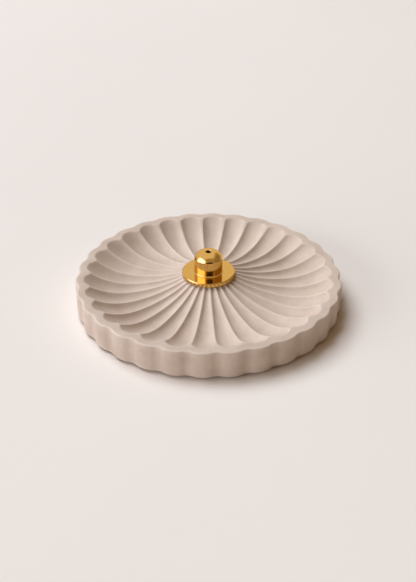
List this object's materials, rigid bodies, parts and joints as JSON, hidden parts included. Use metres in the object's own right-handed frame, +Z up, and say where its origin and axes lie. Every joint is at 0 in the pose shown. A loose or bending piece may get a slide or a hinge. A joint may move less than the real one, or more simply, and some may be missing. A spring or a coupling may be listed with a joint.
{
  "type": "incense stick holder",
  "caption": "Round fluted cast dish with a removable domed brass post on a flange, which holds an incense stick upright over the dish that catches its ash.",
  "frame": {"origin": "on the dish's axis, level with the soles of its feet", "axes": "+Z up along the dish's axis and the stick's hole; +X through the middle of a flute, and both +X and +Y between two feet"},
  "size_m": [0.12, 0.1194, 0.0259],
  "materials": {
    "cast_stone": "matte",
    "polished_brass": "polished",
    "turned_brass": "satin",
    "rubber": "matte"
  },
  "bodies": {
    "dish": {"dish": "cast_stone", "socket_sleeve": "turned_brass", "foot_1": "rubber", "foot_2": "rubber", "foot_3": "rubber", "foot_4": "rubber"},
    "grip_ring": {"grip_ring": "rubber"},
    "holder": {"holder_post": "polished_brass", "flange_plate": "polished_brass", "flange_nut": "turned_brass"}
  },
  "joints": [
    {"name": "holder_lift", "type": "slide", "parent": "dish", "child": "grip_ring", "axis": [0, 0, 1], "range_m": [0, 0.012]},
    {"name": "holder_turn", "type": "hinge", "parent": "grip_ring", "child": "holder", "pos_m": [0, 0, 0.0143], "axis": [0, 0, 1], "continuous": true}
  ]
}
